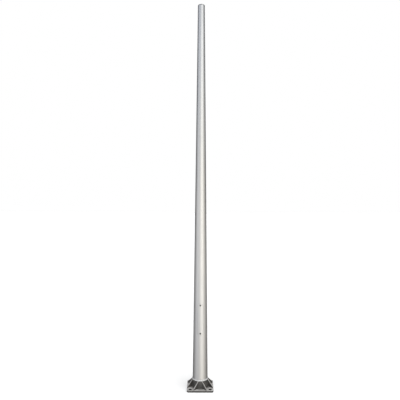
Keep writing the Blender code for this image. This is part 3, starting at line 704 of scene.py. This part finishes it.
def casting():
    """Plate, collar and ribs joined, cut, then remeshed and smoothed into one filleted casting."""
    half = CASTING[1].x
    body = block("base_casting_skin", (-half, -half, 0), (half, half, PLATE_THICK))
    bm = bmesh.new()
    bm.from_mesh(body.data)
    corners = [e for e in bm.edges if abs(e.verts[0].co.z - e.verts[1].co.z) > 0.001]
    bmesh.ops.bevel(
        bm, geom=corners, offset=PLATE_CORNER, segments=10, profile=0.5, affect="EDGES"
    )
    bm.to_mesh(body.data)
    bm.free()
    collar = [
        (0, COLLAR_TOP), (COLLAR_TOP_RADIUS, COLLAR_TOP), (COLLAR_FOOT_RADIUS, PLATE_THICK),
        (COLLAR_FOOT_RADIUS, PLATE_THICK / 2), (0, PLATE_THICK / 2),
    ]
    boolean(body, lathe("collar", collar, 128), "UNION")
    for index in range(8):
        boolean(body, rib(index), "UNION")
    boolean(body, bar("socket", SOCKET_RADIUS, SOCKET_FLOOR, 0.13, 128), "DIFFERENCE")
    boolean(body, bar("cable_hole", CABLE_HOLE_RADIUS, -0.01, 0.03, 96), "DIFFERENCE")
    for centre in BOLT_HOLES:
        at_hole = Matrix.Translation((centre.x, centre.y, 0))
        boolean(body, bar("bolt_hole", BOLT_HOLE_RADIUS, -0.01, 0.03, 64, at_hole), "DIFFERENCE")
    remesh = body.modifiers.new("cast", "REMESH")
    remesh.mode = "VOXEL"
    remesh.voxel_size = CAST_VOXEL
    round_off = body.modifiers.new("fillets", "SMOOTH")
    round_off.factor = 0.5
    round_off.iterations = 5
    bake(body)
    for vert in body.data.vertices:
        vert.co.z = max(vert.co.z, 0.0)
    body.data.shade_smooth()
    dress(body, "base_casting")


def swell(front, at, width):
    """A smooth rise to 1 along the bead, from angles measured at the front (radians)."""
    return math.exp(-((front - at) / width) ** 2)


def bead():
    """The weld: overlapping crescents with a wandering lip, and a stop between two lumps."""
    around, across, ripples = 1024, 12, 118
    reach, leg = 0.0066, 0.0085  # out from the mast, and up it
    low = WELD[0].z - 0.0006
    root = shaft_radius(low) - 0.0004
    rng = random.Random(7)
    phases = [rng.uniform(0, 2 * math.pi) for _ in range(4)]
    bm = bmesh.new()
    rows = []
    for i in range(around):
        angle = 2 * math.pi * i / around
        front = math.atan2(math.sin(angle + math.pi / 2), math.cos(angle + math.pi / 2))
        wander = 0.0006 * math.sin(5 * angle + phases[0])
        wander += 0.0004 * math.sin(11 * angle + phases[1])
        lump = 0.0009 * swell(front, -0.16, 0.10) + 0.0012 * swell(front, 0.24, 0.10)
        width = leg + wander + lump - 0.0022 * swell(front, -0.02, 0.05)
        row = []
        for k in range(across + 1):
            t = k / across
            turn = math.pi / 2 * t
            radius = root + (reach + 0.4 * (wander + lump)) * math.sin(turn) ** 0.8
            sag = 0.0022 * math.sin(turn) * (1 + 300 * lump)
            height = low + width * math.cos(turn) ** 0.9 - sag
            lag = 2.4 * math.sin(math.pi * t) + 1.5 * math.sin(3 * angle)
            rise = 0.00034 * math.cos(ripples * angle + lag) * math.sin(math.pi * t) ** 0.7
            rise += 0.00025 * noise.noise(Vector(polar(1, angle, t / 6)) * 60)
            radius += rise * math.sin(turn)
            height += rise * math.cos(turn)
            row.append(bm.verts.new(polar(radius, angle, height)))
        row.append(bm.verts.new(polar(root, angle, low - 0.001)))
        rows.append(row)
    for i in range(around):
        here, there = rows[i], rows[(i + 1) % around]
        for k in range(len(here)):
            m = (k + 1) % len(here)
            bm.faces.new((here[k], there[k], there[m], here[m]))
    weld = mesh_object("weld_bead", bm)
    shade(weld.data, 70)
    dress(weld, "base_weld")


# Cap

STUD_HOLE = 0.0044
SKIRT_WALL = 0.0045


def cap_dome():
    """The low dome and its skirt inside the radome, with the stud's hole in the crown."""
    edge = CAP_EDGE_RADIUS
    seat = RADOME[1].z + GAP
    rise = CAP[1].z - seat
    roundness = 2.3
    hole = STUD_HOLE
    profile = []
    count = 36
    for i in range(count + 1):
        radius = hole + (edge - hole) * math.sin(math.pi / 2 * i / count)
        level = (1 - (radius / edge) ** roundness) ** (1 / roundness)
        profile.append((radius, seat + rise * level))
    profile[-1] = (edge, seat + 0.0003)
    skirt = shaft_radius(RADOME[1].z, WALL + GAP)
    profile += [
        (edge - 0.0003, seat), (skirt, seat), (skirt, CAP[0].z + 0.001),
        (skirt - 0.001, CAP[0].z), (skirt - SKIRT_WALL, CAP[0].z),
        (skirt - SKIRT_WALL, seat + 0.006), (hole, CAP[1].z - 0.003),
    ]
    dress(lathe("cap_skin", profile, FINE), "cap", material=LOOKS["cap_skin"])


def cap_fastening():
    """The washer and the low dome nut on the crown."""
    washer = eased_ring(STUD_HOLE, WASHER[1].x, WASHER[0].z, WASHER[1].z, 0.00025)
    dress(lathe("cap_washer_skin", washer), "cap_washer", material=LOOKS["dull_steel"])
    low, high = NUT[0].z, NUT[1].z
    dome = [(0, high)]
    for i in range(1, 13):
        turn = math.pi / 2 * i / 12
        dome.append((0.0062 * math.sin(turn), high - 0.0038 * (1 - math.cos(turn))))
    dome += [(0.0066, high - 0.0040), (0.0080, high - 0.0049), (0.0080, low), (0, low)]
    nut = lathe("cap_nut_skin", dome, MEDIUM)
    corner = NUT[1].y
    turned = Matrix.Rotation(math.pi / 6, 4, "Z")
    boolean(nut, bar("flats", corner, low - 0.001, high + 0.001, 6, turned), "INTERSECT")
    dress(soften(nut, 0.00025), "cap_nut", material=LOOKS["dull_steel"])


# Door screws


def door_screw(end):
    """A low button head with a hexagon socket, on a threaded shank."""
    node = f"door_screw_{end}"
    low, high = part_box(node)
    z = (low.z + high.z) / 2
    head = (high.x - low.x) / 2
    crown = 0.0030
    seat = low.y + crown
    shank, tip = DOOR_SCREW_RADIUS, high.y - seat
    profile = [(0, crown)]
    for i in range(1, 11):
        turn = math.pi / 2 * i / 10
        profile.append((head * math.sin(turn), 0.0006 + (crown - 0.0006) * math.cos(turn)))
    profile += [(head, 0.0002), (head - 0.0002, 0), (shank, 0)]
    profile += [*thread(shank, -0.004, 0.0006 - tip), (shank - 0.0007, -tip), (0, -tip)]
    on_axis = facing_front(0, seat, z)
    screw = lathe(f"{node}_skin", profile, 64, on_axis)
    socket = bar("socket", 0.0023, crown - 0.0018, crown + 0.001, 6, on_axis)
    boolean(screw, socket, "DIFFERENCE")
    shade(screw.data)
    dress(screw, node, material=LOOKS["dark_screw"])

    low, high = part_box(f"screw_retainer_{end}")
    thick, outer = high.y - low.y, (high.x - low.x) / 2
    profile = eased_ring(shank + GAP, outer, 0, thick, 0.25 * thick)
    at_back = facing_front(0, high.y, z)
    dress(lathe(f"screw_retainer_{end}_skin", profile, SMALL, at_back), f"screw_retainer_{end}")


# Behind the door


def bridge(end):
    """A tapped bar across the opening that takes a door screw."""
    node = f"door_bridge_{end}"
    low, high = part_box(node)
    piece = block(f"{node}_skin", low, high)
    z = (low.z + high.z) / 2
    tapped = facing_front(0, high.y + 0.001, z)
    depth, radius = high.y - low.y + 0.002, DOOR_SCREW_RADIUS + GAP
    bore = [(0, depth), (radius, depth), *thread(radius, depth - 0.001, 0), (0, 0)]
    soften(piece, 0.0006)
    boolean(piece, lathe("tapped", bore, SMALL, tapped), "DIFFERENCE")
    shade(piece.data)
    dress(piece, node)


def rail():
    """The upright strip and the arrester's shelf, drilled and with broken edges."""
    low, high = RAIL
    back = high.y - RAIL_THICK
    shelf = ARRESTER_SHELF
    piece = block("bracket_rail_skin", (low.x, back, low.z), (high.x, high.y, high.z))
    tongue_back = high.y - RAIL_THICK / 2
    tongue = block(
        "tongue", (low.x, low.y, shelf), (high.x, tongue_back, shelf + RAIL_THICK)
    )
    boolean(piece, tongue, "UNION")
    port = Matrix.Translation((PORT.x, PORT.y, 0))
    drill = bar("hole", PORT_RADIUS + 0.001, shelf - 0.01, shelf + 0.01, 64, port)
    boolean(piece, drill, "DIFFERENCE")
    drilled = [(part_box(f"rail_screw_{end}"), 0.0030) for end in ("upper", "lower")]
    drilled.append((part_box("earth_stud"), 0.0043))
    for corners, radius in drilled:
        at = middle(corners)
        drill = bar("hole", radius, -0.01, 0.01, SMALL, facing_front(at.x, back, at.z))
        boolean(piece, drill, "DIFFERENCE")
    dress(soften(piece, 0.0004), "bracket_rail")


def rail_fixing(end):
    """A standoff on the mast's back wall and the socket screw through the rail into it."""
    node = f"rail_standoff_{end}"
    low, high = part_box(node)
    radius, length = (high.x - low.x) / 2, high.y - low.y
    ease, bore = 0.0005, 0.0028
    at_wall = facing_front(0, high.y, (low.z + high.z) / 2)
    profile = [
        (radius - ease, length), (radius, length - ease), (radius, 0), (bore, 0),
        (bore, length - ease), (bore + ease, length),
    ]
    dress(lathe(f"{node}_skin", profile, SMALL, at_wall), node)
    node = f"rail_screw_{end}"
    low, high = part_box(node)
    head, crown, shank = (high.x - low.x) / 2, 0.0028, 0.0025
    length = high.y - low.y - crown
    at_rail = facing_front(0, low.y + crown, (low.z + high.z) / 2)
    profile = [
        (0, crown), (0.62 * head, crown), (0.86 * head, 0.80 * crown), (head, 0.40 * crown),
        (head, 0.0002), (head - 0.0002, 0), *thread(shank, 0, -length), (0, -length),
    ]
    screw = lathe(f"{node}_skin", profile, SMALL, at_rail)
    boolean(screw, bar("socket", 0.0017, crown - 0.0015, crown + 0.001, 6, at_rail), "DIFFERENCE")
    shade(screw.data)
    dress(screw, node)


def arrester():
    """The coaxial surge arrester: threaded ports, a turned barrel and its seat on the shelf."""
    at_port = Matrix.Translation((PORT.x, PORT.y, ARRESTER_SHELF))
    low, high = (corner.z - ARRESTER_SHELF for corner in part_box("surge_arrester"))
    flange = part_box("surge_arrester")[1].x - PORT.x
    barrel, port, seat, ease = 0.0130, PORT_RADIUS, RAIL_THICK + GAP, 0.0006
    profile = [
        (0, high - 0.006), (0.0035, high - 0.006), (0.0035, high - 0.0005), (port - ease, high),
        *thread(port, high - ease, 0.0575, 0.0011), (0.0115, 0.057), (barrel, 0.0555),
        *groove(barrel, 0.0520, 0.0500, ease), *groove(barrel, 0.0200, 0.0180, ease),
        (barrel, seat + 0.0071), (barrel + ease, seat + 0.0065), (flange - ease, seat + 0.0065),
        (flange, seat + 0.0065 - ease), (flange, seat + ease), (flange - ease, seat),
        *thread(port, seat, low + ease, 0.0011), (port - ease, low), (0, low),
    ]
    dress(lathe("surge_arrester_skin", profile, MEDIUM, at_port), "surge_arrester")
    bottom, top = (corner.z - ARRESTER_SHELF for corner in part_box("arrester_nut"))
    hex_nut("arrester_nut", 0.021, port + GAP, bottom, top, at_port)


def earth_point():
    """The brass stud on the rail, with its washer, the crimped lug and the nut over it."""
    centre = middle(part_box("earth_stud"))
    face = RAIL[1].y - RAIL_THICK
    at_stud = facing_front(centre.x, face, centre.z)
    low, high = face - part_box("earth_stud")[1].y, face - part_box("earth_stud")[0].y
    stud, head, bore, shoulder = 0.0040, 0.0065, 0.0043, -RAIL_THICK - GAP
    profile = [
        (0, high), (stud - 0.0007, high), *thread(stud, high - 0.0008, shoulder, 0.0009, 0.0004),
        (head - GAP, shoulder), (head, shoulder - GAP), (head, low + 0.0005),
        (head - 0.0005, low), (0, low),
    ]
    dress(lathe("earth_stud_skin", profile, SMALL, at_stud), "earth_stud")
    washer = eased_ring(bore, 0.0075, GAP, 0.0019, 0.0003)
    dress(lathe("earth_washer_skin", washer, 64, at_stud), "earth_washer")
    hex_nut("earth_nut", 0.013, bore, 0.0060, 0.0125, at_stud)
    palm = eased_ring(bore, 0.0088, 0.0022, 0.0042, 0.0003)
    lug = lathe("earth_lug_skin", palm, 64, at_stud)
    down = at_stud @ Matrix.Translation((0, 0, 0.0032)) @ Matrix.Rotation(math.pi / 2, 4, "X")
    barrel = 0.0026
    crimps = [
        (0, 0.0200), (barrel - 0.0002, 0.0200), (barrel, 0.0198),
        *groove(barrel, 0.0180, 0.0155, 0.0003), *groove(barrel, 0.0140, 0.0115, 0.0003),
        (barrel, 0.0079), (0, 0.0079),
    ]
    boolean(lug, lathe("barrel", crimps, 32, down), "UNION")
    shade(lug.data)
    dress(lug, "earth_lug")


def feeder_plug():
    """The plug on the feeder's lower end, with a fluted coupling ring."""
    low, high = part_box("feeder_plug_lower")
    base, top = low.z, high.z
    ring, sleeve = (high.x - low.x) / 2, PORT_RADIUS + GAP
    profile = [
        (0, top), (0.0062, top), (0.0066, base + 0.0275), (0.0080, base + 0.0272),
        (ring - 0.0004, base + 0.0268), (ring, base + 0.0262),
        *groove(ring, base + 0.0200, base + 0.0180, 0.0012, 0.0006),
        (ring, base + 0.0006), (ring - 0.0005, base),
        (sleeve, base), (sleeve, base + 0.018), (0, base + 0.018),
    ]
    at_port = Matrix.Translation((PORT.x, PORT.y, 0))
    plug = lathe("feeder_plug_lower_skin", profile, MEDIUM, at_port)
    flute(plug, ring, base, base + 0.0181, 0.0005, MEDIUM, (PORT.x, PORT.y))
    dress(plug, "feeder_plug_lower")


# Studio


def studio():
    """A plain pale floor, and one wide soft light from above."""
    floor_bm = bmesh.new()
    bmesh.ops.create_grid(floor_bm, x_segments=8, y_segments=8, size=60)
    floor = mesh_object("floor", floor_bm)
    floor.location.z = -0.0002
    f = Finish("pale_floor")
    soft = f.noise(1.5, 3.0)
    f.set(Base_Color=f.mix(soft, grey(0.90), grey(0.93)), Roughness=0.9)
    floor.data.materials.append(f.material)
    floor.visible_glossy = False

    above = bpy.data.lights.new("overhead", "SUN")
    above.energy = 3.2
    above.angle = math.radians(60)
    lamp = bpy.data.objects.new("overhead", above)
    lamp.rotation_euler = (math.radians(8), math.radians(6), 0)
    lamp.visible_glossy = False
    bpy.context.scene.collection.objects.link(lamp)


SURROUND_STRENGTH = 2.0

# What the satin metal reflects, as the parts of a studio: (place, level, warmth) stops.
# By azimuth from the front (degrees, towards +X):
AROUND = (
    (-180, 0.50, 0.00),  # back wall
    (-150, 0.08, 0.00),  # dark left flank
    (-115, 0.08, -0.05),
    (-65, 0.55, -0.05),  # wide cool fill on the left
    (-15, 0.55, 0.00),
    (25, 1.15, 0.05),  # warm key, right of the front
    (65, 0.55, 0.05),
    (115, 0.08, 0.05),  # dark right flank
    (150, 0.08, 0.00),
    (180, 0.50, 0.00),
)
# By height of the reflected direction (sine of its elevation):
UPWARD = (
    (-1.00, 0.40, 0.05),  # floor under the object
    (-0.35, 0.55, -0.05),  # floor around it
    (-0.20, 1.40, 0.05),  # lit floor in front
    (0.00, 0.85, 0.05),  # horizon
    (0.45, 0.80, -0.05),  # upper edge of the panels
    (0.60, 0.15, -0.05),  # unlit ceiling
    (1.00, 0.05, -0.05),
)


def tinted(level, warmth):
    """An ivory or bluish light: warmth takes blue away, and adds a little red."""
    return (level * (1 + 0.4 * warmth), level, level * (1 - warmth), 1.0)


def world():
    """A soft surround: a lit front, dark flanks that draw the shaft's rims, and a gentle back."""
    surround = bpy.data.worlds.new("surround")
    bpy.context.scene.world = surround
    surround.use_nodes = True
    tree = surround.node_tree
    nodes, links = tree.nodes, tree.links
    background = nodes["Background"]
    direction = nodes.new("ShaderNodeTexCoord").outputs["Generated"]
    parts = nodes.new("ShaderNodeSeparateXYZ")
    links.new(direction, parts.inputs[0])
    front = nodes.new("ShaderNodeMath")
    front.operation = "MULTIPLY"
    front.inputs[1].default_value = -1.0
    links.new(parts.outputs["Y"], front.inputs[0])
    azimuth = nodes.new("ShaderNodeMath")
    azimuth.operation = "ARCTAN2"
    links.new(parts.outputs["X"], azimuth.inputs[0])
    links.new(front.outputs[0], azimuth.inputs[1])

    def ramp(value, low, high, stops):
        spread = nodes.new("ShaderNodeMapRange")
        spread.inputs["From Min"].default_value = low
        spread.inputs["From Max"].default_value = high
        links.new(value, spread.inputs["Value"])
        band = nodes.new("ShaderNodeValToRGB")
        band.color_ramp.interpolation = "LINEAR"
        elements = band.color_ramp.elements
        while len(elements) < len(stops):
            elements.new(0.5)
        for element, (at, level, warmth) in zip(elements, stops):
            element.position = (at - low) / (high - low)
            element.color = tinted(level, warmth)
        links.new(spread.outputs["Result"], band.inputs["Fac"])
        return band.outputs["Color"]

    turn = nodes.new("ShaderNodeMath")
    turn.operation = "MULTIPLY"
    turn.inputs[1].default_value = 180 / math.pi
    links.new(azimuth.outputs[0], turn.inputs[0])
    sides = ramp(turn.outputs[0], -180, 180, AROUND)
    levels = ramp(parts.outputs["Z"], -1, 1, UPWARD)
    product = nodes.new("ShaderNodeMix")
    product.data_type = "RGBA"
    product.blend_type = "MULTIPLY"
    product.inputs["Factor"].default_value = 1.0
    links.new(sides, product.inputs[6])
    links.new(levels, product.inputs[7])
    links.new(product.outputs[2], background.inputs["Color"])
    background.inputs["Strength"].default_value = SURROUND_STRENGTH
    backdrop = nodes.new("ShaderNodeBackground")
    backdrop.inputs["Color"].default_value = (1, 1, 1, 1)
    seen = nodes.new("ShaderNodeMixShader")
    links.new(nodes.new("ShaderNodeLightPath").outputs["Is Camera Ray"], seen.inputs[0])
    links.new(background.outputs[0], seen.inputs[1])
    links.new(backdrop.outputs[0], seen.inputs[2])
    links.new(seen.outputs[0], nodes["World Output"].inputs["Surface"])
    bpy.context.scene.view_settings.view_transform = "Standard"


LENS = 38.78
EYE = (-0.0078, -4.5, 1.952)
ROLL = math.radians(-0.19)


def camera():
    """A level camera in front of the door, slightly rolled."""
    data = bpy.data.cameras.new("camera")
    data.lens = LENS
    data.sensor_width = 36.0
    data.clip_end = 200
    eye = bpy.data.objects.new("camera", data)
    eye.location = EYE
    eye.rotation_euler = (math.pi / 2, ROLL, 0)
    bpy.context.scene.collection.objects.link(eye)
    bpy.context.scene.camera = eye


def keep_the_rest():
    """Every CAD node that no finer piece stands for keeps its shape and gets its finish."""
    for node, obj in frame["nodes"].items():
        obj.data.materials.clear()
        obj.data.materials.append(LOOKS[SLOT_OF[node]])


keep_the_rest()
mast()
radome()
door()
door_surround()
casting()
bead()
cap_dome()
cap_fastening()
for which in ("upper", "lower"):
    door_screw(which)
    bridge(which)
    rail_fixing(which)
rail()
arrester()
earth_point()
feeder_plug()
studio()
world()
camera()
